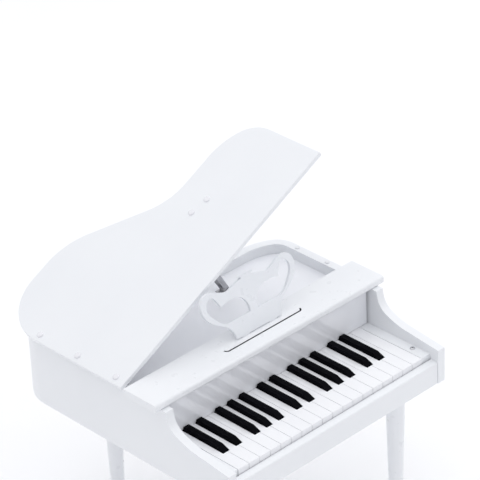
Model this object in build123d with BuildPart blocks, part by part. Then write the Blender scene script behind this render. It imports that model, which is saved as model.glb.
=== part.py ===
"""Child-size grand piano: a white case on three legs, thirty hinged keys, a lid with a folding stay and a
lift-out music rack.

Frame: X runs from bass to treble, Y from the player to the tail, Z up. The origin is on the floor, under the
middle of the whole piano. Millimetres.
"""

import os
from math import acos, atan2, cos, degrees, hypot, radians, sin

from build123d import *

# ---------------------------------------------------------------- driving sizes
KEY_PITCH = 22.6          # one white key and its gap
WHITE_KEYS = 18           # C to F, two octaves and a fourth
KEY_TOP = 304.0           # white key tops above the floor
DEPTH = 509.0             # cheek nose to lid tail
NOSE = 16.7               # cheek nose in front of the key fronts
WALL = 15.0               # case sides
KEY_BLOCK = 19.8          # wooden block between the last key and the cheek
CASE_BELOW = 50.0         # case bottom below the key tops
BOARD_TOP_UP = 80.1       # fixed front board's top above the key tops
BOARD_T = 13.4
LID_T = 7.5
LID_OPEN = 27.0           # degrees, against the stay
LEAF_T = 1.0              # hinge leaf thickness

KEYBOARD_HALF = KEY_PITCH * WHITE_KEYS / 2
KEY_FRONT = NOSE - DEPTH / 2
CASE_BOTTOM = KEY_TOP - CASE_BELOW
BOARD_TOP = KEY_TOP + BOARD_TOP_UP
BOARD_BOTTOM = BOARD_TOP - BOARD_T
RIM_TOP = BOARD_TOP - LID_T - 2 * LEAF_T
INNER_HALF = KEYBOARD_HALF + 0.2 + KEY_BLOCK
OUTER_HALF = INNER_HALF + WALL
FIT_GAP = 0.2             # panel edge to case wall


def back(distance):
    """Y of a place that lies this far behind the white key fronts."""
    return KEY_FRONT + distance


def up(height):
    """Z of a place that lies this far above the white key tops."""
    return KEY_TOP + height


# ---------------------------------------------------------------- piano outline
BEND_START = back(316.4)          # where the treble side starts to curve
BASS_BEND = back(405.8)           # where the bass side starts to curve
LID_LEFT = -246.0
LID_RIGHT = 250.0
LID_FRONT = back(204.4)
SHOULDER_R, SHOULDER_TURN = 53.0, 60.0
BACK_R, BACK_TURN = 118.0, 30.0
WAIST_RUN = 62.0
HOLLOW_R, HOLLOW_TURN = 113.0, 38.0
SLOPE_RUN = 103.6
TAIL_R = 125.0
CORNER_R = 86.5
OVERHANG = LID_RIGHT - OUTER_HALF   # lid edge outside the case, all round the curve


def piano_outline(left, right, front, inset):
    """Closed outline of a grand piano's body, shrunk by inset round its curved side."""
    side = Line((right, front), (right, BEND_START))
    shoulder = JernArc(side @ 1, (0, 1), SHOULDER_R - inset, SHOULDER_TURN)
    hip = JernArc(shoulder @ 1, shoulder % 1, BACK_R - inset, BACK_TURN)
    waist = Line(hip @ 1, (hip @ 1) + (hip % 1) * WAIST_RUN)
    hollow = JernArc(waist @ 1, waist % 1, HOLLOW_R + inset, -HOLLOW_TURN)
    slope = Line(hollow @ 1, (hollow @ 1) + (hollow % 1) * SLOPE_RUN)
    tail = JernArc(slope @ 1, slope % 1, TAIL_R - inset, HOLLOW_TURN)
    corner_r = (tail @ 1).Y - BASS_BEND
    end = Line(tail @ 1, (left + corner_r, (tail @ 1).Y))
    corner = JernArc(end @ 1, (-1, 0), corner_r, 90)
    bass = Line(corner @ 1, (left, front))
    Line(bass @ 1, side @ 0)


os.makedirs("parts", exist_ok=True)


def save(part, label):
    """Name a finished piece and write its file."""
    part.label = label
    export_step(part, f"parts/{label}.step")


# ---------------------------------------------------------------- case sides
CHEEK_TOP = up(15.6)
NOSE_ROUND = 15.0
CHEEK_SCOOP = [(116.0, BOARD_BOTTOM), (105.1, up(38.8)), (70.7, up(23.2)), (15.9, CHEEK_TOP)]


def case_side(inner_x, end_y, label):
    """One straight side of the case, with its scooped cheek beside the keys."""
    with BuildPart() as side:
        with BuildSketch(Plane.YZ.offset(inner_x)) as profile:
            with BuildLine():
                scoop = Spline(
                    [(back(y), z) for y, z in CHEEK_SCOOP],
                    tangents=[(-0.1, -1), (-1, -0.12)],
                )
                Polyline(
                    scoop @ 1,
                    (back(-NOSE), up(11.7)),
                    (back(-NOSE), CASE_BOTTOM),
                    (end_y, CASE_BOTTOM),
                    (end_y, RIM_TOP),
                    (FRONT_BOARD_BACK, RIM_TOP),
                    (FRONT_BOARD_BACK, BOARD_BOTTOM),
                    scoop @ 0,
                )
            make_face()
            nose = profile.vertices().sort_by_distance((inner_x, back(-NOSE), up(11.7)))[0]
            fillet(nose, NOSE_ROUND)
        extrude(amount=WALL)
    save(side.part, label)


FRONT_BOARD_FRONT = back(125.0)
FRONT_BOARD_BACK = back(195.5)
case_side(-OUTER_HALF, BASS_BEND, "left_side")
case_side(INNER_HALF, BEND_START, "right_side")

with BuildPart() as curved_rim:
    with BuildSketch(Plane.XY.offset(CASE_BOTTOM)):
        with BuildLine():
            piano_outline(-OUTER_HALF, OUTER_HALF, LID_FRONT, OVERHANG)
        make_face()
        with BuildSketch(mode=Mode.SUBTRACT):
            with BuildLine():
                piano_outline(-INNER_HALF, INNER_HALF, LID_FRONT - WALL, OVERHANG + WALL)
            make_face()
        with Locations((OUTER_HALF, BEND_START)):
            Rectangle(2 * OUTER_HALF, DEPTH, align=(Align.CENTER, Align.MAX), mode=Mode.SUBTRACT)
        with Locations((-OUTER_HALF, BASS_BEND)):
            Rectangle(2 * OUTER_HALF, DEPTH, align=(Align.CENTER, Align.MAX), mode=Mode.SUBTRACT)
    extrude(amount=RIM_TOP - CASE_BOTTOM)
save(curved_rim.part, "curved_rim")

# ---------------------------------------------------------------- floors of the case
BOTTOM_T = 9.0
KEY_SLIP_BACK = back(-1.2)
SOUNDBOARD_TOP = up(52.6)
SOUNDBOARD_T = 5.0
FALLBOARD_FRONT = back(135.6)
FALLBOARD_T = 9.0
SOUNDBOARD_FRONT = back(146.0)
PANEL_HALF = INNER_HALF - FIT_GAP
PANEL_INSET = OVERHANG + WALL + FIT_GAP


def inner_panel(front, bottom, thickness, label):
    """A board that fills the inside of the case."""
    with BuildPart() as panel:
        with BuildSketch(Plane.XY.offset(bottom)):
            with BuildLine():
                piano_outline(-PANEL_HALF, PANEL_HALF, front, PANEL_INSET)
            make_face()
        extrude(amount=thickness)
    save(panel.part, label)


inner_panel(KEY_SLIP_BACK, CASE_BOTTOM, BOTTOM_T, "bottom_board")
inner_panel(SOUNDBOARD_FRONT, SOUNDBOARD_TOP - SOUNDBOARD_T, SOUNDBOARD_T, "soundboard")

BATTEN = 12.0
BATTEN_BOTTOM = SOUNDBOARD_TOP - SOUNDBOARD_T - BATTEN
BATTEN_START = back(256.0)
with BuildPart() as support_battens:
    with BuildSketch(Plane.XY.offset(BATTEN_BOTTOM)):
        with Locations((-PANEL_HALF, BATTEN_START)):
            Rectangle(BATTEN, BASS_BEND - BATTEN_START, align=(Align.MIN, Align.MIN))
        with Locations((PANEL_HALF, BATTEN_START)):
            Rectangle(BATTEN, BEND_START - BATTEN_START, align=(Align.MAX, Align.MIN))
        with Locations((0, SOUNDBOARD_FRONT)):
            Rectangle(2 * PANEL_HALF, BATTEN, align=(Align.CENTER, Align.MIN))
    extrude(amount=BATTEN)
save(support_battens.part, "support_battens")

# ---------------------------------------------------------------- front of the case
SLIP_T = 13.8
SLIP_TOP = up(-10.0)
with BuildPart() as key_slip:
    with BuildSketch(Plane.XY.offset(CASE_BOTTOM)):
        with Locations((0, KEY_SLIP_BACK)):
            Rectangle(2 * PANEL_HALF, SLIP_T, align=(Align.CENTER, Align.MAX))
    extrude(amount=SLIP_TOP - CASE_BOTTOM)
    slip_nose = key_slip.edges().filter_by(Axis.X).group_by(Axis.Z)[-1].sort_by(Axis.Y)[0]
    fillet(slip_nose, 3)
save(key_slip.part, "key_slip")

BLOCK_FRONT = back(1.0)
BLOCK_BACK = back(138.0)
BLOCK_BOTTOM = CASE_BOTTOM + BOTTOM_T
BLOCK_SCREW = (KEYBOARD_HALF + 11.3, back(30.5))
SCREW_R, SCREW_DEPTH = 1.8, 20.0
with BuildPart() as key_blocks:
    with BuildSketch(Plane.XY.offset(BLOCK_BOTTOM)):
        for side in (-1, 1):
            with Locations((side * (KEYBOARD_HALF + 0.6 + PANEL_HALF) / 2, BLOCK_FRONT)):
                Rectangle(
                    PANEL_HALF - KEYBOARD_HALF - 0.6,
                    BLOCK_BACK - BLOCK_FRONT,
                    align=(Align.CENTER, Align.MIN),
                )
    extrude(amount=KEY_TOP - BLOCK_BOTTOM)
    fillet(key_blocks.edges().filter_by(Axis.X).group_by(Axis.Z)[-1].group_by(Axis.Y)[0], 1.5)
    with Locations(Plane.XY.offset(KEY_TOP)):
        with Locations(BLOCK_SCREW, (-BLOCK_SCREW[0], BLOCK_SCREW[1])):
            Hole(radius=SCREW_R, depth=SCREW_DEPTH)
save(key_blocks.part, "key_blocks")

FALLBOARD_GAP = 0.8       # above the white keys
FALLBOARD_END_GAP = 3.0   # to the case sides
with BuildPart() as fallboard:
    with BuildSketch(Plane.XY.offset(up(FALLBOARD_GAP))):
        with Locations((0, FALLBOARD_FRONT)):
            Rectangle(
                2 * (INNER_HALF - FALLBOARD_END_GAP), FALLBOARD_T, align=(Align.CENTER, Align.MIN)
            )
    extrude(amount=BOARD_BOTTOM - up(FALLBOARD_GAP))
save(fallboard.part, "fallboard")

# ---------------------------------------------------------------- front board and music rack
BOARD_HALF = 251.5
BULLNOSE = 4.0
BOARD_EDGE = 1.5
STAND_X = 8.0             # the music stand's middle, from the case's middle
GROOVE_HALF = 77.0        # straight part of the groove in front of the stand
GROOVE_W, GROOVE_DEPTH = 3.0, 7.0
GROOVE_END_R = 6.0        # the groove's ends turn back
GROOVE_Y = back(151.7)
RACK_T = 5.0
RACK_LEAN = 18.5
RACK_FOOT_Y = back(165.0)
RACK_LIFT = 1.0                      # keeps the leaning foot clear of the board
TENON_X, TENON_W, TENON_T, TENON_LONG = 30.0, 16.0, 4.0, 8.0
TENON_GAP = 0.3
rack_plane = Plane(
    origin=(STAND_X, RACK_FOOT_Y, BOARD_TOP),
    x_dir=(1, 0, 0),
    z_dir=(0, -cos(radians(RACK_LEAN)), sin(radians(RACK_LEAN))),
)

with BuildPart() as front_board:
    with BuildSketch(Plane.XY.offset(BOARD_BOTTOM)):
        with Locations((0, FRONT_BOARD_FRONT)):
            Rectangle(
                2 * BOARD_HALF, FRONT_BOARD_BACK - FRONT_BOARD_FRONT, align=(Align.CENTER, Align.MIN)
            )
    extrude(amount=BOARD_T)
    fillet(front_board.edges().filter_by(Axis.X).group_by(Axis.Y)[0], BULLNOSE)
    ends = front_board.edges().filter_by(Axis.Y).group_by(Axis.Z)[-1]
    fillet(ends, BOARD_EDGE)
    with BuildSketch(Plane(origin=(STAND_X, GROOVE_Y, BOARD_TOP))):
        with BuildLine():
            straight = Line((-GROOVE_HALF, 0), (GROOVE_HALF, 0))
            JernArc(straight @ 1, (1, 0), GROOVE_END_R, 90)
            JernArc(straight @ 0, (-1, 0), GROOVE_END_R, -90)
        trace(line_width=GROOVE_W)
    extrude(amount=-GROOVE_DEPTH, mode=Mode.SUBTRACT)
    with BuildSketch(rack_plane):
        with Locations((-TENON_X, 0), (TENON_X, 0)):
            Rectangle(TENON_W + 2 * TENON_GAP, 2 * (TENON_LONG + TENON_GAP))
    extrude(amount=TENON_T / 2 + TENON_GAP, both=True, mode=Mode.SUBTRACT)
save(front_board.part, "front_board")

RACK_FOOT = 48.5
RACK_CROWN = 91.5
RACK_OUTLINE = [
    (RACK_FOOT, RACK_LIFT), (51, 14), (66, 30.5), (85, 42.5), (97.5, 57), (101, 73), (95, 86.5),
    (80, 91.5), (62, 86), (45, 79.5), (26, 84), (11, 90), (0, RACK_CROWN),
]
WINDOW_FOOT = (8.5, 32.0)
WINDOW_LOBE = [(56.5, 32), (79, 47), (90.5, 70), (84, 81), (75, 82), (68, 74), (62, 61)]
WINDOW_TOP = [(62, 61), (50, 64.5), (30, 64.5)]

with BuildPart() as music_rack:
    with BuildSketch(rack_plane):
        with BuildLine():
            Spline(RACK_OUTLINE, tangents=[(0.1, 1), (-1, 0)])
            Line((0, RACK_CROWN), (0, RACK_LIFT))
            Line((0, RACK_LIFT), RACK_OUTLINE[0])
        make_face()
        with BuildSketch(mode=Mode.SUBTRACT):
            with BuildLine():
                Line(WINDOW_FOOT, WINDOW_LOBE[0])
                Spline(WINDOW_LOBE, tangents=[(1, 0.2), (-0.4, -1)])
                Spline(WINDOW_TOP, tangents=[(-1, 0.5), (-1, 0)])
                ThreePointArc(WINDOW_TOP[-1], (14.5, 55), WINDOW_FOOT)
            make_face()
        mirror(about=Plane.YZ)
    extrude(amount=RACK_T / 2, both=True)
    fillet(music_rack.faces().sort_by(Axis.Y)[0].edges(), 0.6)
    with BuildSketch(rack_plane):
        with Locations((-TENON_X, RACK_LIFT + 1), (TENON_X, RACK_LIFT + 1)):
            Rectangle(TENON_W, TENON_LONG + 1 + RACK_LIFT, align=(Align.CENTER, Align.MAX))
    extrude(amount=TENON_T / 2, both=True)
save(music_rack.part, "music_rack")

# ---------------------------------------------------------------- lid and hinge
KNUCKLE_R = 2.2
LEAF_PLAY = 0.1           # each leaf stops short of the closed plane by this
KNUCKLES = 7
KNUCKLE_GAP = 0.4
PIN_R = 1.0
PIN_PLAY = 0.06
LEAF_REACH = 14.5
HINGE_START = back(209.0)
HINGE_END = back(405.0)
AXIS_X = -OUTER_HALF - KNUCKLE_R - 0.3
AXIS_Z = RIM_TOP + LEAF_T
LID_BOTTOM = AXIS_Z + LEAF_T
BOLT_R = 2.0
BOLT_HEAD_R, BOLT_HEAD_H = 5.5, 2.6
HINGE_BOLT_X = LID_LEFT + 12.0
HINGE_BOLTS = [back(y) for y in (225.0, 313.0, 401.0)]
STAY_BOLTS = [(62.5, back(326.6)), (94.2, back(320.2))]
STAY_PLATE_X = (STAY_BOLTS[0][0] + STAY_BOLTS[1][0]) / 2
STAY_Y = (STAY_BOLTS[0][1] + STAY_BOLTS[1][1]) / 2
hinge_axis = Axis((AXIS_X, 0, AXIS_Z), (0, -1, 0))


def opened(part):
    """A piece of the lid, drawn closed, turned to the open lid."""
    return part.rotate(hinge_axis, LID_OPEN)


def bolt_places():
    """Plan positions of the five bolts through the closed lid."""
    return [(HINGE_BOLT_X, y) for y in HINGE_BOLTS] + STAY_BOLTS


with BuildPart() as lid:
    with BuildSketch(Plane.XY.offset(LID_BOTTOM)):
        with BuildLine():
            piano_outline(LID_LEFT, LID_RIGHT, LID_FRONT, 0)
        make_face()
    extrude(amount=LID_T)
    fillet(lid.faces().sort_by(Axis.Z)[-1].edges(), 1.2)
    with BuildSketch(Plane.XZ.offset(-HINGE_START + 1)):
        with Locations((AXIS_X, AXIS_Z)):
            Circle(KNUCKLE_R + KNUCKLE_GAP)
    extrude(amount=-(HINGE_END - HINGE_START + 2), mode=Mode.SUBTRACT)
    with BuildSketch(Plane.XY.offset(LID_BOTTOM)):
        with Locations(*bolt_places()):
            Circle(BOLT_R)
    extrude(amount=LID_T, mode=Mode.SUBTRACT)
save(opened(lid.part), "lid")


def hinge_leaf(first, bottom, hole_r, holes, hole_size):
    """One leaf of the strip hinge: a plate and every second knuckle, counted from first."""
    pitch = (HINGE_END - HINGE_START) / KNUCKLES
    with BuildPart() as leaf:
        with BuildSketch(Plane.XY.offset(bottom)):
            with Locations((AXIS_X, HINGE_START)):
                Rectangle(LEAF_REACH, HINGE_END - HINGE_START, align=(Align.MIN, Align.MIN))
            with Locations(*holes):
                Circle(hole_size, mode=Mode.SUBTRACT)
        extrude(amount=LEAF_T - LEAF_PLAY)
        for number in range(KNUCKLES):
            start = HINGE_START + number * pitch
            own = number % 2 == first
            with BuildSketch(Plane.XZ.offset(-start + (0 if own else KNUCKLE_GAP))):
                with Locations((AXIS_X, AXIS_Z)):
                    Circle(KNUCKLE_R if own else KNUCKLE_R + KNUCKLE_GAP)
            if own:
                extrude(amount=-(pitch - KNUCKLE_GAP))
            else:
                extrude(amount=-(pitch + KNUCKLE_GAP), mode=Mode.SUBTRACT)
        with BuildSketch(Plane.XZ.offset(-HINGE_START + 1)):
            with Locations((AXIS_X, AXIS_Z)):
                Circle(hole_r)
        extrude(amount=-(HINGE_END - HINGE_START + 2), mode=Mode.SUBTRACT)
    return leaf.part


LEAF_SCREW_X = AXIS_X + 9.5
LEAF_SCREWS = [back(y) for y in (240.0, 284.0, 342.0, 386.0)]
case_leaf = hinge_leaf(0, RIM_TOP, PIN_R, [(LEAF_SCREW_X, y) for y in LEAF_SCREWS], 1.6)
with BuildPart() as hinge_pin:
    with BuildSketch(Plane.XZ.offset(-HINGE_START)):
        with Locations((AXIS_X, AXIS_Z)):
            Circle(PIN_R)
    extrude(amount=-(HINGE_END - HINGE_START))
save(Compound(children=[case_leaf, hinge_pin.part]), "hinge_case_leaf")

leaf_bolts = [(HINGE_BOLT_X, y) for y in HINGE_BOLTS]
lid_leaf = hinge_leaf(1, AXIS_Z + LEAF_PLAY, PIN_R + PIN_PLAY, leaf_bolts, BOLT_R)
save(opened(lid_leaf), "hinge_lid_leaf")

STAY_PLATE_T = 1.5
with BuildPart() as lid_bolts:
    with BuildSketch(Plane.XY.offset(LID_BOTTOM + LID_T)):
        with Locations(*bolt_places()):
            Circle(BOLT_HEAD_R)
    extrude(amount=BOLT_HEAD_H)
    fillet(lid_bolts.edges().group_by(Axis.Z)[-1], BOLT_HEAD_H - 0.2)
    with BuildSketch(Plane.XY.offset(AXIS_Z + LEAF_PLAY)):
        with Locations(*bolt_places()):
            Circle(BOLT_R)
    extrude(amount=LID_T + LEAF_T - LEAF_PLAY)
save(opened(lid_bolts.part), "lid_bolts")

# ---------------------------------------------------------------- folding stay
ARM_W = 8.0               # bar width
BAR_T = 2.0
LOWER_ARM, UPPER_ARM = 82.0, 76.0
STAY_FOOT = (76.0, SOUNDBOARD_TOP + 7.0)           # X, Z of the lower pivot
STAY_HEAD_CLOSED = (70.0, LID_BOTTOM - 9.0)        # X, Z of the upper pivot, lid closed
RIVET_R, RIVET_PLAY, RIVET_HEAD_R = 2.2, 0.05, 3.6


def turn_with_lid(point):
    """X and Z of a point of the closed lid once the lid is open."""
    turn = radians(LID_OPEN)
    dx, dz = point[0] - AXIS_X, point[1] - AXIS_Z
    return (AXIS_X + dx * cos(turn) - dz * sin(turn), AXIS_Z + dx * sin(turn) + dz * cos(turn))


def elbow_place(foot, head):
    """Where the two arms meet: left of the line from foot to head."""
    reach = hypot(head[0] - foot[0], head[1] - foot[1])
    bearing = atan2(head[1] - foot[1], head[0] - foot[0])
    inner = acos((LOWER_ARM**2 + reach**2 - UPPER_ARM**2) / (2 * LOWER_ARM * reach))
    return (foot[0] + LOWER_ARM * cos(bearing + inner), foot[1] + LOWER_ARM * sin(bearing + inner))


STAY_HEAD = turn_with_lid(STAY_HEAD_CLOSED)
ELBOW = elbow_place(STAY_FOOT, STAY_HEAD)


def plane_at(y):
    """Upright plane facing the player, seen from the front, at this Y."""
    return Plane(origin=(0, y, 0), x_dir=(1, 0, 0), z_dir=(0, -1, 0))


def bar(start, end, near, far):
    """Flat bar with round ends, between two pivots, filling the stay's Y from near to far."""
    bearing = degrees(atan2(end[1] - start[1], end[0] - start[0]))
    middle = ((start[0] + end[0]) / 2, (start[1] + end[1]) / 2)
    with BuildSketch(plane_at(STAY_Y + far)) as outline:
        with Locations(Location(middle, bearing)):
            SlotCenterToCenter(hypot(end[0] - start[0], end[1] - start[1]), ARM_W)
    extrude(outline.sketch, amount=far - near)


def disc(centre, radius, near, far, mode=Mode.ADD):
    """Round pin, rivet head or hole across the stay."""
    with BuildSketch(plane_at(STAY_Y + far)) as outline:
        with Locations(centre):
            Circle(radius)
    extrude(outline.sketch, amount=far - near, mode=mode)


REAR_BAR = (-0.3 - BAR_T, -0.3)
REAR_EAR = (-4.6, -2.6)
FRONT_EAR = (-17.0, -15.0)
FRONT_BAR = (-17.3 - BAR_T, -17.3)
UPPER_BAR = (0.3, 3.3)
LID_EAR = (3.6, 6.6)

with BuildPart() as stay_lower_arm:
    bar(STAY_FOOT, ELBOW, *FRONT_BAR)
    bar(STAY_FOOT, ELBOW, *REAR_BAR)
    disc(STAY_FOOT, RIVET_R + RIVET_PLAY, FRONT_BAR[0], REAR_BAR[1], Mode.SUBTRACT)
    disc(ELBOW, RIVET_R, FRONT_BAR[1], REAR_BAR[0])
    disc(ELBOW, RIVET_HEAD_R, FRONT_BAR[0] - 1, FRONT_BAR[0])
    half_way = ((STAY_FOOT[0] + ELBOW[0]) / 2, (STAY_FOOT[1] + ELBOW[1]) / 2)
    disc(half_way, RIVET_R, FRONT_BAR[1], REAR_BAR[0])
save(stay_lower_arm.part, "stay_lower_arm")

with BuildPart() as stay_upper_arm:
    bar(ELBOW, STAY_HEAD, *UPPER_BAR)
    disc(STAY_HEAD, RIVET_R + RIVET_PLAY, *UPPER_BAR, Mode.SUBTRACT)
    disc(ELBOW, RIVET_HEAD_R, UPPER_BAR[1], UPPER_BAR[1] + 1)
save(stay_upper_arm.part, "stay_upper_arm")

FOOT_PLATE = (22.0, 20.0)
EAR_HALF = 4.0
with BuildPart() as stay_base_bracket:
    with BuildSketch(Plane.XY.offset(SOUNDBOARD_TOP)):
        with Locations((STAY_FOOT[0], STAY_Y + (FRONT_EAR[0] + REAR_EAR[1]) / 2)):
            Rectangle(*FOOT_PLATE)
    extrude(amount=STAY_PLATE_T)
    for ear in (FRONT_EAR, REAR_EAR):
        disc(STAY_FOOT, EAR_HALF, *ear)
        with BuildSketch(plane_at(STAY_Y + ear[1])):
            with Locations((STAY_FOOT[0], SOUNDBOARD_TOP)):
                Rectangle(
                    2 * EAR_HALF, STAY_FOOT[1] - SOUNDBOARD_TOP, align=(Align.CENTER, Align.MIN)
                )
        extrude(amount=ear[1] - ear[0])
    disc(STAY_FOOT, RIVET_R, FRONT_BAR[0] - 0.3, 0.1)
    disc(STAY_FOOT, RIVET_HEAD_R, FRONT_BAR[0] - 1.3, FRONT_BAR[0] - 0.3)
save(stay_base_bracket.part, "stay_base_bracket")

STAY_PLATE = (44.0, 14.0, 3.0)       # length, width, corner radius
EAR_DROP = 7.5
plate_turn = degrees(
    atan2(STAY_BOLTS[1][1] - STAY_BOLTS[0][1], STAY_BOLTS[1][0] - STAY_BOLTS[0][0])
)
with BuildPart() as stay_lid_bracket:
    with BuildSketch(Plane.XY.offset(LID_BOTTOM - STAY_PLATE_T)):
        with Locations(Location((STAY_PLATE_X, STAY_Y), plate_turn)):
            RectangleRounded(*STAY_PLATE)
        with Locations(*STAY_BOLTS):
            Circle(BOLT_R, mode=Mode.SUBTRACT)
    extrude(amount=STAY_PLATE_T)
    disc(STAY_HEAD_CLOSED, EAR_HALF, *LID_EAR)
    with BuildSketch(plane_at(STAY_Y + LID_EAR[1])):
        with Locations((STAY_HEAD_CLOSED[0], STAY_HEAD_CLOSED[1])):
            Rectangle(2 * EAR_HALF, EAR_DROP, align=(Align.CENTER, Align.MIN))
    extrude(amount=LID_EAR[1] - LID_EAR[0])
    disc(STAY_HEAD_CLOSED, RIVET_R, UPPER_BAR[0], LID_EAR[0])
save(opened(stay_lid_bracket.part), "stay_lid_bracket")

# ---------------------------------------------------------------- legs
LEG_PLATE_T, PAD_T = 4.0, 4.0
LEG_TOP = CASE_BOTTOM - LEG_PLATE_T
LEG_PLACES = {
    "front_left_leg": (-192.0, back(48.0)),
    "front_right_leg": (192.0, back(48.0)),
    "rear_leg": (-100.0, back(405.0)),
}
LEG_PROFILE = [(0, PAD_T), (10.5, PAD_T), (11, PAD_T + 2), (16, LEG_TOP - 34), (16, LEG_TOP - 26)]
LEG_COLLAR = [(19, LEG_TOP - 20), (22, LEG_TOP - 12), (22, LEG_TOP), (0, LEG_TOP)]
for leg_name, (leg_x, leg_y) in LEG_PLACES.items():
    with BuildPart() as leg:
        with BuildSketch(Plane(origin=(leg_x, leg_y, 0), x_dir=(1, 0, 0), z_dir=(0, -1, 0))):
            with BuildLine():
                Polyline(*LEG_PROFILE, *LEG_COLLAR, LEG_PROFILE[0])
            make_face()
        revolve(axis=Axis((leg_x, leg_y, 0), (0, 0, 1)))
        fillet(leg.edges().filter_by(GeomType.CIRCLE).group_by(Axis.Z)[3:5], 1.5)
    save(leg.part, leg_name)


def leg_discs(radius, bottom, thickness, label):
    """One round disc on every leg's axis."""
    with BuildPart() as discs:
        with BuildSketch(Plane.XY.offset(bottom)):
            with Locations(*LEG_PLACES.values()):
                Circle(radius)
        extrude(amount=thickness)
    save(discs.part, label)


leg_discs(29.0, LEG_TOP, LEG_PLATE_T, "leg_plates")
leg_discs(9.5, 0, PAD_T, "foot_pads")

# ---------------------------------------------------------------- key action
KEY_H = 20.0
KEY_GAP = 0.8             # between neighbouring keys
HEAD_LONG = 45.6          # wide part of a white key, in front of the black keys
LEVER_LONG = 265.0
PIVOT_BACK = 150.0
PIVOT_DOWN = 12.0
PIVOT_R, PIVOT_PLAY = 2.0, 0.05
STRIKER_LONG, STRIKER_UP = 8.0, 9.0
BLACK_FRONT = 46.8
BLACK_UP = 6.9
BLACK_END = FALLBOARD_FRONT - KEY_FRONT - 0.5
BLACK_BEVEL = 13.0
BLACK_TAPER = 9.0


def black_key_cap(left, right):
    """Raised, tapered cap of a black key, with its sloping front."""
    middle = (left + right) / 2
    with BuildSketch(Plane.XY.offset(KEY_TOP)) as base:
        with Locations((middle, back((BLACK_FRONT + BLACK_END) / 2))):
            Rectangle(right - left, BLACK_END - BLACK_FRONT)
    extrude(base.sketch, amount=BLACK_UP, taper=BLACK_TAPER)
    with BuildSketch(Plane.YZ.offset(left - 1)) as bevel:
        with BuildLine():
            Polyline(
                (back(BLACK_FRONT - 1), up(0.8)),
                (back(BLACK_FRONT + 0.6), up(0.8)),
                (back(BLACK_FRONT + BLACK_BEVEL), up(BLACK_UP)),
                (back(BLACK_FRONT + BLACK_BEVEL), up(BLACK_UP + 1)),
                (back(BLACK_FRONT - 1), up(BLACK_UP + 1)),
                close=True,
            )
        make_face()
    extrude(bevel.sketch, amount=right - left + 2, mode=Mode.SUBTRACT)


def key(head, lever, label):
    """One key lever. head is the left and right edge of a white head, or None for a black key."""
    left, right = lever[0] + KEY_GAP / 2, lever[1] - KEY_GAP / 2
    with BuildPart() as lever_part:
        with BuildSketch(Plane.XY.offset(KEY_TOP - KEY_H)):
            start = 0 if head else BLACK_FRONT
            with Locations((left, back(start))):
                Rectangle(right - left, LEVER_LONG - start, align=(Align.MIN, Align.MIN))
            if head:
                with Locations((head[0] + KEY_GAP / 2, back(0))):
                    Rectangle(head[1] - head[0] - KEY_GAP, HEAD_LONG, align=(Align.MIN, Align.MIN))
        extrude(amount=KEY_H)
        if head:
            lip = lever_part.edges().filter_by(Axis.X).group_by(Axis.Z)[-1].group_by(Axis.Y)[0]
            fillet(lip, 0.8)
        else:
            black_key_cap(left, right)
        with BuildSketch(Plane.XY.offset(KEY_TOP)):
            with Locations((left, back(LEVER_LONG))):
                Rectangle(right - left, STRIKER_LONG, align=(Align.MIN, Align.MAX))
        extrude(amount=STRIKER_UP)
        with BuildSketch(Plane.YZ.offset(left - 1)):
            with Locations((back(PIVOT_BACK), up(-PIVOT_DOWN))):
                Circle(PIVOT_R + PIVOT_PLAY)
        extrude(amount=right - left + 2, mode=Mode.SUBTRACT)
    save(lever_part.part, label)


# An octave's seven white heads share twelve equal-looking levers: five over C to E, seven over F to B.
C_GROUP = 3 * KEY_PITCH / 5
F_GROUP = 4 * KEY_PITCH / 7
OCTAVE = ["c", "c_sharp", "d", "d_sharp", "e", "f", "f_sharp", "g", "g_sharp", "a", "a_sharp", "b"]
KEY_COUNT = 30
levers = []
head_left = lever_left = -KEYBOARD_HALF
for number in range(KEY_COUNT):
    note = OCTAVE[number % 12]
    is_white = "sharp" not in note
    last = number == KEY_COUNT - 1
    width = KEY_PITCH if last else (C_GROUP if number % 12 < 5 else F_GROUP)
    lever = (lever_left, lever_left + width)
    head = (head_left, head_left + KEY_PITCH) if is_white else None
    key(head, lever, f"key_{number + 1:02d}_{note}")
    levers.append(lever)
    lever_left += width
    if is_white:
        head_left += KEY_PITCH

RAIL_END = KEYBOARD_HALF + 5.0
ROD_END_GAP = 0.8         # last key to the pivot bracket
RAIL_W = 20.0
FRONT_RAIL, BACK_RAIL = 20.0, 235.0
FELT_T = 3.0
KEY_DIP = 8.0             # room under the keys, above the front rail's felt
FRONT_RAIL_TOP = up(-KEY_H - KEY_DIP - FELT_T)
BALANCE_TOP = up(-KEY_H - 2.5)
BACK_RAIL_TOP = up(-KEY_H - 0.3 - FELT_T)
BRACKET_TOP = up(-PIVOT_DOWN + 6)
TONE_FRONT, TONE_BACK = 236.0, 253.0
TONE_BOTTOM, TONE_TOP = up(7.0), up(27.0)
POST_W = 10.0


def rail(y, top, half_length):
    """Wooden rail across the case, standing on the bottom board."""
    with BuildSketch(Plane.XY.offset(BLOCK_BOTTOM)) as strip:
        with Locations((0, back(y))):
            Rectangle(2 * half_length, RAIL_W)
    extrude(strip.sketch, amount=top - BLOCK_BOTTOM)


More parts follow.
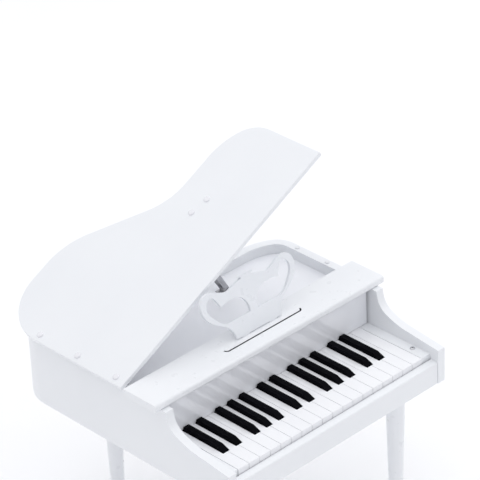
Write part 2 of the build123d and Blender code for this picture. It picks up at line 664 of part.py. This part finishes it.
with BuildPart() as action_rails:
    rail(PIVOT_BACK, BALANCE_TOP, RAIL_END)
    with BuildSketch(Plane.XY.offset(BALANCE_TOP)):
        for side in (-1, 1):
            with Locations((side * (KEYBOARD_HALF + ROD_END_GAP), back(PIVOT_BACK))):
                sideways = Align.MAX if side < 0 else Align.MIN
                Rectangle(RAIL_END - KEYBOARD_HALF - ROD_END_GAP, 14, align=(sideways, Align.CENTER))
    extrude(amount=BRACKET_TOP - BALANCE_TOP)
    with BuildSketch(Plane.YZ.offset(-RAIL_END)):
        with Locations((back(PIVOT_BACK), up(-PIVOT_DOWN))):
            Circle(PIVOT_R)
    extrude(amount=2 * RAIL_END, mode=Mode.SUBTRACT)
    rail(FRONT_RAIL, FRONT_RAIL_TOP, KEYBOARD_HALF)
    rail(BACK_RAIL, BACK_RAIL_TOP, KEYBOARD_HALF)
    with BuildSketch(Plane.XY.offset(BLOCK_BOTTOM)):
        for side in (-1, 1):
            with Locations((side * (PANEL_HALF - POST_W / 2), back(TONE_FRONT))):
                Rectangle(POST_W, TONE_BACK - TONE_FRONT, align=(Align.CENTER, Align.MIN))
    extrude(amount=TONE_BOTTOM - BLOCK_BOTTOM)
save(action_rails.part, "action_rails")

with BuildPart() as key_pivot_rod:
    with BuildSketch(Plane.YZ.offset(-RAIL_END)):
        with Locations((back(PIVOT_BACK), up(-PIVOT_DOWN))):
            Circle(PIVOT_R)
    extrude(amount=2 * RAIL_END)
save(key_pivot_rod.part, "key_pivot_rod")

# ---------------------------------------------------------------- chime rods and their block
CHIME_R = 1.5
CHIME_Z = up(16.8)
CHIME_START = TONE_BACK - 10.0
LONGEST, SHORTEST = 190.0, 45.0


def chime_places():
    """X of the middle of every lever, and the length of its rod beyond the block."""
    for number, (left, right) in enumerate(levers):
        share = number / (KEY_COUNT - 1)
        yield (left + right) / 2, LONGEST + (SHORTEST - LONGEST) * share


with BuildPart() as tone_block:
    with BuildSketch(Plane.XY.offset(TONE_BOTTOM)):
        with Locations((0, back(TONE_FRONT))):
            Rectangle(2 * PANEL_HALF, TONE_BACK - TONE_FRONT, align=(Align.CENTER, Align.MIN))
    extrude(amount=TONE_TOP - TONE_BOTTOM)
    with BuildSketch(Plane.XZ.offset(-back(CHIME_START))):
        with Locations(*[(x, CHIME_Z) for x, length in chime_places()]):
            Circle(CHIME_R)
    extrude(amount=-(TONE_BACK - CHIME_START), mode=Mode.SUBTRACT)
save(tone_block.part, "tone_block")

with BuildPart() as chime_rods:
    for x, length in chime_places():
        with BuildSketch(Plane.XZ.offset(-back(CHIME_START))):
            with Locations((x, CHIME_Z)):
                Circle(CHIME_R)
        extrude(amount=-(TONE_BACK - CHIME_START + length))
save(chime_rods.part, "chime_rods")

# ---------------------------------------------------------------- felt and screws
BUMPER_T = LID_BOTTOM - RIM_TOP - 0.3
BUMPERS = [
    (OUTER_HALF - WALL / 2, back(232.0)),
    (OUTER_HALF - WALL / 2, back(300.0)),
    (-142.0, back(473.2)),
]
with BuildPart() as felts:
    for y, top in ((FRONT_RAIL, FRONT_RAIL_TOP), (BACK_RAIL, BACK_RAIL_TOP)):
        with BuildSketch(Plane.XY.offset(top)):
            with Locations((0, back(y))):
                Rectangle(2 * KEYBOARD_HALF, RAIL_W - 4)
        extrude(amount=FELT_T)
    with BuildSketch(Plane.XY.offset(RIM_TOP)):
        with Locations(*BUMPERS):
            Circle(4)
    extrude(amount=BUMPER_T)
save(felts.part, "felts")

PAN_R, PAN_H = 4.4, 2.2
with BuildPart() as case_screws:
    with BuildSketch(Plane.XY.offset(KEY_TOP)):
        with Locations(BLOCK_SCREW, (-BLOCK_SCREW[0], BLOCK_SCREW[1])):
            Circle(PAN_R)
    extrude(amount=PAN_H)
    fillet(case_screws.edges().group_by(Axis.Z)[-1], PAN_H - 0.4)
    with Locations(Plane.XY.offset(up(PAN_H))):
        with Locations(BLOCK_SCREW, (-BLOCK_SCREW[0], BLOCK_SCREW[1])):
            Box(4.2, 0.9, 2.4, mode=Mode.SUBTRACT)
            Box(0.9, 4.2, 2.4, mode=Mode.SUBTRACT)
    with BuildSketch(Plane.XY.offset(KEY_TOP - SCREW_DEPTH)):
        with Locations(BLOCK_SCREW, (-BLOCK_SCREW[0], BLOCK_SCREW[1])):
            Circle(SCREW_R)
    extrude(amount=SCREW_DEPTH)
save(case_screws.part, "case_screws")
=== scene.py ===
"""Looks, light and camera for the child-size grand piano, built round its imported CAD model."""

import math

import bmesh
import bpy
from mathutils import Matrix, Vector


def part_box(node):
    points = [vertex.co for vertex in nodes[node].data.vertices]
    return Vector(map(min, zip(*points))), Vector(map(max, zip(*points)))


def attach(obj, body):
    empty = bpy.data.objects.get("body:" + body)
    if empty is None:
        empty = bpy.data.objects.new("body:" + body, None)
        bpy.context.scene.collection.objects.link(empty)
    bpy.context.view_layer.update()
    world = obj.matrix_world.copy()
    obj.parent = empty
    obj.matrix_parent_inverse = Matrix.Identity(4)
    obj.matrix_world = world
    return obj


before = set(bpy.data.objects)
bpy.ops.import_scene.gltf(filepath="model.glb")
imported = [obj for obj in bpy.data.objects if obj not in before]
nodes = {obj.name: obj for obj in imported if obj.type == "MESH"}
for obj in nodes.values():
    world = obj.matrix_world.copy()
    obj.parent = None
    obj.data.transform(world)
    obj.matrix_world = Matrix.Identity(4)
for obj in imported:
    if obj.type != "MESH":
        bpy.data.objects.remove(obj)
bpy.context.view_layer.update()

MM = 0.001


def middle(node):
    """The middle of a CAD node's box."""
    low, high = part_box(node)
    return (Vector(low) + Vector(high)) / 2


# ---------------------------------------------------------------- node materials
def new_material(name):
    """A material with only its shader, its output and object coordinates."""
    mat = bpy.data.materials.new(name)
    mat.use_nodes = True
    tree = mat.node_tree
    shader = tree.nodes["Principled BSDF"]
    coords = tree.nodes.new("ShaderNodeTexCoord")
    return mat, tree, shader, coords.outputs["Object"]


def stretched(tree, vector, scale):
    """Coordinates multiplied along each axis."""
    mapping = tree.nodes.new("ShaderNodeMapping")
    mapping.inputs["Scale"].default_value = scale
    tree.links.new(vector, mapping.inputs["Vector"])
    return mapping.outputs["Vector"]


def noise(tree, vector, scale, detail=4.0, roughness=0.5):
    """Fractal noise, 0 to 1."""
    node = tree.nodes.new("ShaderNodeTexNoise")
    node.inputs["Scale"].default_value = scale
    node.inputs["Detail"].default_value = detail
    node.inputs["Roughness"].default_value = roughness
    tree.links.new(vector, node.inputs["Vector"])
    return node.outputs["Fac"]


def ramp(tree, value, stops):
    """Colour ramp over a value: stops are (position, colour)."""
    node = tree.nodes.new("ShaderNodeValToRGB")
    elements = node.color_ramp.elements
    while len(elements) < len(stops):
        elements.new(0.5)
    for element, (position, colour) in zip(elements, stops):
        element.position = position
        element.color = (*colour, 1.0)
    tree.links.new(value, node.inputs["Fac"])
    return node.outputs["Color"]


def spread(tree, value, low, high):
    """A 0 to 1 value stretched to low to high."""
    node = tree.nodes.new("ShaderNodeMapRange")
    node.inputs["From Min"].default_value = 0.25
    node.inputs["From Max"].default_value = 0.75
    node.inputs["To Min"].default_value = low
    node.inputs["To Max"].default_value = high
    tree.links.new(value, node.inputs["Value"])
    return node.outputs["Result"]


def bump(tree, shader, height, distance, strength=1.0, under=None):
    """Adds bump to the shader, over an earlier bump if there is one."""
    node = tree.nodes.new("ShaderNodeBump")
    node.inputs["Distance"].default_value = distance
    node.inputs["Strength"].default_value = strength
    tree.links.new(height, node.inputs["Height"])
    if under:
        tree.links.new(under, node.inputs["Normal"])
    tree.links.new(node.outputs["Normal"], shader.inputs["Normal"])
    return node.outputs["Normal"]


def painted(name, colour, shade, roughness, coat=0.0, peel=0.00003, grain=None):
    """Sprayed paint on board: faint clouding, orange peel, and fine sanding marks along one axis."""
    mat, tree, shader, where = new_material(name)
    clouds = noise(tree, where, 9.0, 3.0)
    tree.links.new(ramp(tree, clouds, [(0.3, shade), (0.7, colour)]), shader.inputs["Base Color"])
    mottle = noise(tree, where, 60.0, 5.0)
    rough = spread(tree, mottle, roughness * 0.85, roughness * 1.15)
    tree.links.new(rough, shader.inputs["Roughness"])
    shader.inputs["Specular IOR Level"].default_value = 0.5
    shader.inputs["Coat Weight"].default_value = coat
    shader.inputs["Coat Roughness"].default_value = 0.08
    skin = bump(tree, shader, noise(tree, where, 420.0, 2.0), peel)
    if grain:
        marks = noise(tree, stretched(tree, where, grain), 1.0, 4.0, 0.6)
        bump(tree, shader, marks, peel * 1.6, 1.0, skin)
    return mat


def raw_wood(name, light, dark, along):
    """Unpainted wood, its growth bands and pores running along the axis with the smallest scale."""
    mat, tree, shader, where = new_material(name)
    lines = stretched(tree, where, along)
    bands = noise(tree, lines, 4.0, 6.0, 0.65)
    tree.links.new(
        ramp(tree, bands, [(0.3, dark), (0.55, light), (0.7, light)]),
        shader.inputs["Base Color"],
    )
    shader.inputs["Roughness"].default_value = 0.62
    pores = noise(tree, stretched(tree, where, tuple(4 * s for s in along)), 6.0, 4.0)
    bump(tree, shader, pores, 0.00008)
    return mat


STAIN_SHADE = 0.82


def metal(name, colour, roughness, brushed=(30.0, 30.0, 900.0), depth=0.00002, metallic=1.0):
    """Metal with fine brushing and small stains in its colour and roughness."""
    mat, tree, shader, where = new_material(name)
    stains = noise(tree, where, 45.0, 4.0)
    dull = tuple(c * STAIN_SHADE for c in colour)
    tree.links.new(ramp(tree, stains, [(0.35, dull), (0.65, colour)]), shader.inputs["Base Color"])
    shader.inputs["Metallic"].default_value = metallic
    tree.links.new(spread(tree, stains, roughness * 0.8, roughness * 1.25), shader.inputs["Roughness"])
    bump(tree, shader, noise(tree, stretched(tree, where, brushed), 1.0, 3.0), depth)
    return mat


def between(tree, value, low, high):
    """1 where a value lies between low and high, otherwise 0."""
    over = tree.nodes.new("ShaderNodeMath")
    over.operation = "GREATER_THAN"
    over.inputs[1].default_value = low
    tree.links.new(value, over.inputs[0])
    under = tree.nodes.new("ShaderNodeMath")
    under.operation = "LESS_THAN"
    under.inputs[1].default_value = high
    tree.links.new(value, under.inputs[0])
    both = tree.nodes.new("ShaderNodeMath")
    both.operation = "MULTIPLY"
    tree.links.new(over.outputs[0], both.inputs[0])
    tree.links.new(under.outputs[0], both.inputs[1])
    return both.outputs[0]


def tint_inside(mat, colour, low, high):
    """Another base colour inside a box of the object, such as painted shade at the bottom of a groove."""
    tree = mat.node_tree
    shader = tree.nodes["Principled BSDF"]
    paint = shader.inputs["Base Color"].links[0].from_socket
    split = tree.nodes.new("ShaderNodeSeparateXYZ")
    tree.links.new(tree.nodes["Texture Coordinate"].outputs["Object"], split.inputs[0])
    mask = None
    for axis in range(3):
        inside = between(tree, split.outputs[axis], low[axis], high[axis])
        if mask:
            both = tree.nodes.new("ShaderNodeMath")
            both.operation = "MULTIPLY"
            tree.links.new(mask, both.inputs[0])
            tree.links.new(inside, both.inputs[1])
            inside = both.outputs[0]
        mask = inside
    mix = tree.nodes.new("ShaderNodeMix")
    mix.data_type = "RGBA"
    tree.links.new(mask, mix.inputs["Factor"])
    tree.links.new(paint, mix.inputs["A"])
    mix.inputs["B"].default_value = (*colour, 1.0)
    tree.links.new(mix.outputs["Result"], shader.inputs["Base Color"])


WHITE = (0.858, 0.872, 0.894)
WHITE_SHADE = (0.842, 0.856, 0.88)
case_paint = painted("case_paint", WHITE, WHITE_SHADE, 0.34)
board_paint = painted("front_board_paint", WHITE, WHITE_SHADE, 0.3, coat=0.15)
gloss_paint = painted(
    "fallboard_gloss_paint", (0.88, 0.89, 0.925), (0.86, 0.87, 0.905), 0.07, coat=0.8, peel=0.000004
)
rack_paint = painted("rack_paint", (0.84, 0.86, 0.89), (0.82, 0.84, 0.875), 0.3)
leg_paint = painted("leg_paint", WHITE, WHITE_SHADE, 0.3)
deck_paint = painted(
    "soundboard_paint", (0.9, 0.91, 0.94), (0.87, 0.88, 0.915), 0.45, grain=(900.0, 12.0, 12.0)
)
white_key = painted(
    "white_key_lacquer", (0.9, 0.905, 0.925), (0.87, 0.875, 0.9), 0.22, coat=0.25, grain=(700.0, 14.0, 60.0)
)
black_key = painted(
    "black_key_lacquer", (0.002, 0.002, 0.003), (0.004, 0.004, 0.006), 0.3, grain=(600.0, 25.0, 60.0)
)
BLACK_KEY_IOR = 1.07      # hardly any sheen, so the keys stay black under the bright sky
black_key.node_tree.nodes["Principled BSDF"].inputs["IOR"].default_value = BLACK_KEY_IOR
rail_wood = raw_wood("rail_wood", (0.72, 0.55, 0.36), (0.55, 0.38, 0.22), (6.0, 40.0, 40.0))
zinc = metal("zinc_plate", (0.72, 0.73, 0.75), 0.3)
stay_metal = metal("stay_steel", (0.5, 0.5, 0.52), 0.36, (20.0, 20.0, 500.0))
screw_metal = metal("screw_steel", (0.78, 0.78, 0.8), 0.2, (200.0, 200.0, 200.0))
cap_paint = painted("bolt_cap_paint", (0.84, 0.84, 0.87), (0.82, 0.82, 0.85), 0.18, coat=0.4)
plate_paint = painted("plate_powder_coat", (0.8, 0.8, 0.82), (0.77, 0.77, 0.8), 0.45, peel=0.00006)
chime_metal = metal("chime_steel", (0.8, 0.8, 0.82), 0.16, (400.0, 20.0, 400.0))
iron = metal("tone_block_iron", (0.11, 0.11, 0.12), 0.5, (120.0, 120.0, 120.0), 0.0001, 0.8)


def rubber_material():
    """Dull black rubber with a fine moulded texture."""
    mat, tree, shader, where = new_material("pad_rubber")
    tree.links.new(
        ramp(tree, noise(tree, where, 300.0), [(0.3, (0.02, 0.02, 0.02)), (0.7, (0.045, 0.045, 0.045))]),
        shader.inputs["Base Color"],
    )
    shader.inputs["Roughness"].default_value = 0.8
    bump(tree, shader, noise(tree, where, 1500.0), 0.00005)
    return mat


def felt_material():
    """Pressed wool felt."""
    mat, tree, shader, where = new_material("red_felt")
    wool = noise(tree, where, 700.0, 6.0)
    tree.links.new(
        ramp(tree, wool, [(0.3, (0.22, 0.02, 0.03)), (0.7, (0.4, 0.05, 0.06))]),
        shader.inputs["Base Color"],
    )
    shader.inputs["Roughness"].default_value = 0.95
    shader.inputs["Sheen Weight"].default_value = 0.5
    bump(tree, shader, noise(tree, where, 2500.0, 6.0), 0.0002)
    return mat


rubber = rubber_material()
felt = felt_material()
WHITE_FELT = (0.8, 0.81, 0.83)
RIM_FELT_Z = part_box("felts")[1][2]
RIM_FELT_T = 4.0 * MM
BEYOND = 1.0              # farther out than any part of the piano
tint_inside(felt, WHITE_FELT, (-BEYOND, -BEYOND, RIM_FELT_Z - RIM_FELT_T), (BEYOND, BEYOND, RIM_FELT_Z + MM))

# Painted shade: the inside of the front board's music-rack groove is coloured near black for the shade that
# falls in the slot.
GROOVE_PAINTED_SHADE = (0.035, 0.035, 0.045)
GROOVE_REACH = 100.0 * MM
GROOVE_SKIN = 0.5 * MM    # the board's own faces keep their paint
board_low, board_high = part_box("front_board")
GROOVE_FRONT, GROOVE_BACK = board_low[1] + 24.0 * MM, board_low[1] + 34.5 * MM
tint_inside(
    board_paint,
    GROOVE_PAINTED_SHADE,
    (-GROOVE_REACH, GROOVE_FRONT, board_low[2] + GROOVE_SKIN),
    (GROOVE_REACH, GROOVE_BACK, board_high[2] - GROOVE_SKIN),
)

NODE_MATERIALS = {
    "fallboard": gloss_paint,
    "front_board": board_paint,
    "music_rack": rack_paint,
    "soundboard": deck_paint,
    "support_battens": rail_wood,
    "action_rails": rail_wood,
    "bottom_board": case_paint,
    "front_left_leg": leg_paint,
    "front_right_leg": leg_paint,
    "rear_leg": leg_paint,
    "leg_plates": plate_paint,
    "foot_pads": rubber,
    "hinge_case_leaf": zinc,
    "hinge_lid_leaf": zinc,
    "lid_bolts": cap_paint,
    "stay_base_bracket": stay_metal,
    "stay_lower_arm": stay_metal,
    "stay_upper_arm": stay_metal,
    "stay_lid_bracket": stay_metal,
    "key_pivot_rod": screw_metal,
    "chime_rods": chime_metal,
    "tone_block": iron,
    "felts": felt,
    "case_screws": screw_metal,
}


def node_material(name):
    """The finished material of one CAD node."""
    if name.startswith("key_") and name[4].isdigit():
        return black_key if "sharp" in name else white_key
    return NODE_MATERIALS.get(name, case_paint)


# Edge rounding, mm
EDGE_ROUND = {
    "left_side": 1.2, "right_side": 1.2, "curved_rim": 1.0, "key_blocks": 0.6, "soundboard": 0.4,
    "fallboard": 0.8, "front_board": 0.5, "key_slip": 0.6,
}
KEY_ROUND = 0.5


def soften(obj, width):
    """Rounds an object's sharp edges a little, so that they catch the light."""
    bevel = obj.modifiers.new("edge_round", "BEVEL")
    bevel.width = width * MM
    bevel.segments = 3
    bevel.limit_method = "ANGLE"
    bevel.angle_limit = math.radians(40)
    bevel.harden_normals = True


for name, obj in nodes.items():
    for material_slot in obj.material_slots:
        material_slot.link = "OBJECT"
        material_slot.material = node_material(name)
    if name in EDGE_ROUND:
        soften(obj, EDGE_ROUND[name])
    elif name.startswith("key_") and name[4].isdigit():
        soften(obj, KEY_ROUND)

# ---------------------------------------------------------------- screws that the CAD leaves out
SCREW_RINGS, SCREW_SIDES = 10, 48
# Sizes of a screw head as shares of its radius
DOME, SKIRT = 0.42, 0.1
RECESS_HALF, RECESS_REACH, RECESS_DEPTH = 0.14, 0.62, 0.3


def screw_head(name, place, outward, radius, body, material):
    """Domed screw head with a cross recess, standing on a surface and facing outward."""
    recess_half = radius * RECESS_HALF
    recess_reach = radius * RECESS_REACH
    mesh = bpy.data.meshes.new(name)
    form = bmesh.new()
    rings = []
    for ring in range(SCREW_RINGS + 1):
        share = ring / SCREW_RINGS
        points = []
        for side in range(SCREW_SIDES):
            angle = 2 * math.pi * side / SCREW_SIDES
            x, y = radius * share * math.cos(angle), radius * share * math.sin(angle)
            height = radius * DOME * math.sqrt(1.0 - 0.92 * share * share) - radius * SKIRT
            in_cross = min(abs(x), abs(y)) < recess_half and max(abs(x), abs(y)) < recess_reach
            if in_cross:
                height -= radius * RECESS_DEPTH
            points.append(form.verts.new((x, y, height)))
        rings.append(points)
    for inner, outer in zip(rings, rings[1:]):
        for side in range(SCREW_SIDES):
            after = (side + 1) % SCREW_SIDES
            form.faces.new((inner[side], outer[side], outer[after], inner[after]))
    skirt = [form.verts.new((v.co.x, v.co.y, -radius * SKIRT)) for v in rings[-1]]
    for side in range(SCREW_SIDES):
        after = (side + 1) % SCREW_SIDES
        form.faces.new((rings[-1][side], skirt[side], skirt[after], rings[-1][after]))
    bmesh.ops.remove_doubles(form, verts=form.verts, dist=radius * 0.001)
    form.faces.new(skirt[::-1])
    form.to_mesh(mesh)
    form.free()
    for face in mesh.polygons:
        face.use_smooth = True
    turn = Vector(outward).to_track_quat("Z", "Y").to_matrix().to_4x4()
    mesh.transform(Matrix.Translation(place) @ turn)
    mesh.materials.append(material)
    head = bpy.data.objects.new(name, mesh)
    bpy.context.scene.collection.objects.link(head)
    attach(head, body)


leaf_low, leaf_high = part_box("hinge_case_leaf")
LEAF_T = 0.9 * MM
LEAF_SCREW_R = 2.6 * MM
LEAF_SCREW_PROUD = 0.1 * MM       # countersunk: the closed lid lies over them
LEAF_SCREW_X = leaf_high[0] - 5.0 * MM
LEAF_SCREW_OFFSETS = (31.0, 75.0, 133.0, 177.0)
leaf_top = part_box("curved_rim")[1][2] + LEAF_T
leaf_screw_z = leaf_top + LEAF_SCREW_PROUD - (DOME - SKIRT) * LEAF_SCREW_R
for number, offset in enumerate(LEAF_SCREW_OFFSETS):
    place = (LEAF_SCREW_X, leaf_low[1] + offset * MM, leaf_screw_z)
    screw_head(f"hinge_screw_{number + 1}", place, (0, 0, 1), LEAF_SCREW_R, "case", screw_metal)

foot_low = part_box("stay_base_bracket")[0]
foot_middle = middle("stay_base_bracket")
FOOT_PLATE_T = 1.5 * MM
STAY_SCREW_R = 2.2 * MM
STAY_SCREW_OFF = 7.5 * MM
for number, side in enumerate((-1, 1)):
    place = (foot_middle.x + side * STAY_SCREW_OFF, foot_middle.y, foot_low[2] + FOOT_PLATE_T)
    screw_head(f"stay_screw_{number + 1}", place, (0, 0, 1), STAY_SCREW_R, "case", screw_metal)

LEG_PLATE_SCREWS = 4
PLATE_CIRCLE_R = 25.0 * MM
PLATE_SCREW_R = 2.6 * MM
plate_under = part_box("leg_plates")[0][2]
for leg in ("front_left_leg", "front_right_leg", "rear_leg"):
    leg_middle = middle(leg)
    for number in range(LEG_PLATE_SCREWS):
        angle = math.pi / 4 + 2 * math.pi * number / LEG_PLATE_SCREWS
        place = (
            leg_middle.x + PLATE_CIRCLE_R * math.cos(angle),
            leg_middle.y + PLATE_CIRCLE_R * math.sin(angle),
            plate_under,
        )
        name = f"{leg}_plate_screw_{number + 1}"
        screw_head(name, place, (0, 0, -1), PLATE_SCREW_R, "case", screw_metal)

bottom_low, bottom_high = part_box("bottom_board")
SCREW_INSET = 12.0 * MM
BOTTOM_SCREWS = 4
BOTTOM_SCREW_PITCH = 72.0 * MM
BOTTOM_SCREW_R = 3.0 * MM
for number in range(BOTTOM_SCREWS):
    y = bottom_low[1] + SCREW_INSET + number * BOTTOM_SCREW_PITCH
    for side, x in (("left", bottom_low[0] + SCREW_INSET), ("right", bottom_high[0] - SCREW_INSET)):
        name = f"bottom_screw_{side}_{number + 1}"
        screw_head(name, (x, y, bottom_low[2]), (0, 0, -1), BOTTOM_SCREW_R, "case", zinc)

# ---------------------------------------------------------------- floor, light and camera
FLOOR = 30.0
floor_mesh = bpy.data.meshes.new("floor")
floor_corners = [(-FLOOR, -FLOOR, 0), (FLOOR, -FLOOR, 0), (FLOOR, FLOOR, 0), (-FLOOR, FLOOR, 0)]
floor_mesh.from_pydata(floor_corners, [], [(0, 1, 2, 3)])
floor = bpy.data.objects.new("floor", floor_mesh)
bpy.context.scene.collection.objects.link(floor)
floor_mat, floor_tree, floor_shader, floor_where = new_material("studio_floor")
floor_clouds = noise(floor_tree, floor_where, 2.0)
floor_tree.links.new(
    ramp(floor_tree, floor_clouds, [(0.3, (0.95, 0.95, 0.96)), (0.7, (0.97, 0.97, 0.975))]),
    floor_shader.inputs["Base Color"],
)
floor_shader.inputs["Roughness"].default_value = 0.9
floor.data.materials.append(floor_mat)

world = bpy.data.worlds.new("studio")
world.use_nodes = True
sky = world.node_tree
sky_where = sky.nodes.new("ShaderNodeTexCoord")
sky_height = sky.nodes.new("ShaderNodeSeparateXYZ")
sky.links.new(sky_where.outputs["Generated"], sky_height.inputs[0])
sky_colour = ramp(sky, sky_height.outputs["Z"], [(0.0, (0.37, 0.376, 0.4)), (0.9, (0.965, 0.97, 0.985))])
sky.links.new(sky_colour, sky.nodes["Background"].inputs["Color"])
SKY_STRENGTH = 1.22
sky.nodes["Background"].inputs["Strength"].default_value = SKY_STRENGTH
bpy.context.scene.world = world
bpy.context.scene.view_settings.view_transform = "Standard"


def area_light(name, place, aim, size, power, colour=(1.0, 1.0, 1.0)):
    """A soft box pointed at aim."""
    light = bpy.data.lights.new(name, "AREA")
    light.size = size
    light.energy = power
    light.color = colour
    lamp = bpy.data.objects.new(name, light)
    lamp.location = place
    lamp.rotation_euler = (Vector(aim) - Vector(place)).to_track_quat("-Z", "Y").to_euler()
    bpy.context.scene.collection.objects.link(lamp)


PIANO_MIDDLE = (0.0, 0.0, 0.35)
area_light("key_light", (-0.5, 0.5, 3.0), PIANO_MIDDLE, 1.0, 3.0)
area_light("treble_fill", (2.4, -0.2, 1.7), PIANO_MIDDLE, 1.2, 8.0)
area_light("front_fill", (0.9, -1.1, 2.7), PIANO_MIDDLE, 1.2, 1.6, (0.97, 0.98, 1.0))

AZIMUTH = math.radians(-43.23)
ELEVATION = math.radians(30.85)
ROLL = math.radians(-2.48)
LENS_MM, SENSOR_MM = 208.8, 36.0
back_axis = Vector(
    (
        math.sin(AZIMUTH) * math.cos(ELEVATION),
        -math.cos(AZIMUTH) * math.cos(ELEVATION),
        math.sin(ELEVATION),
    )
)
level = Vector((math.cos(AZIMUTH), math.sin(AZIMUTH), 0.0))
upright = back_axis.cross(level)
right_axis = level * math.cos(ROLL) + upright * math.sin(ROLL)
up_axis = upright * math.cos(ROLL) - level * math.sin(ROLL)
key_corner = Vector((0.2034, -0.2378, 0.304))        # front corner of the top treble key
VIEW_SCALE = 0.9826 * MM
CAMERA_RIGHT, CAMERA_UP, CAMERA_BACK = -292.38, 190.61, 4474.72
camera_place = key_corner + VIEW_SCALE * (
    CAMERA_RIGHT * right_axis + CAMERA_UP * up_axis + CAMERA_BACK * back_axis
)

camera_data = bpy.data.cameras.new("camera")
camera_data.lens = LENS_MM
camera_data.sensor_width = SENSOR_MM
camera_data.clip_end = 100.0
camera = bpy.data.objects.new("camera", camera_data)
camera.matrix_world = Matrix.Translation(camera_place) @ Matrix(
    (right_axis, up_axis, back_axis)
).transposed().to_4x4()
bpy.context.scene.collection.objects.link(camera)
bpy.context.scene.camera = camera
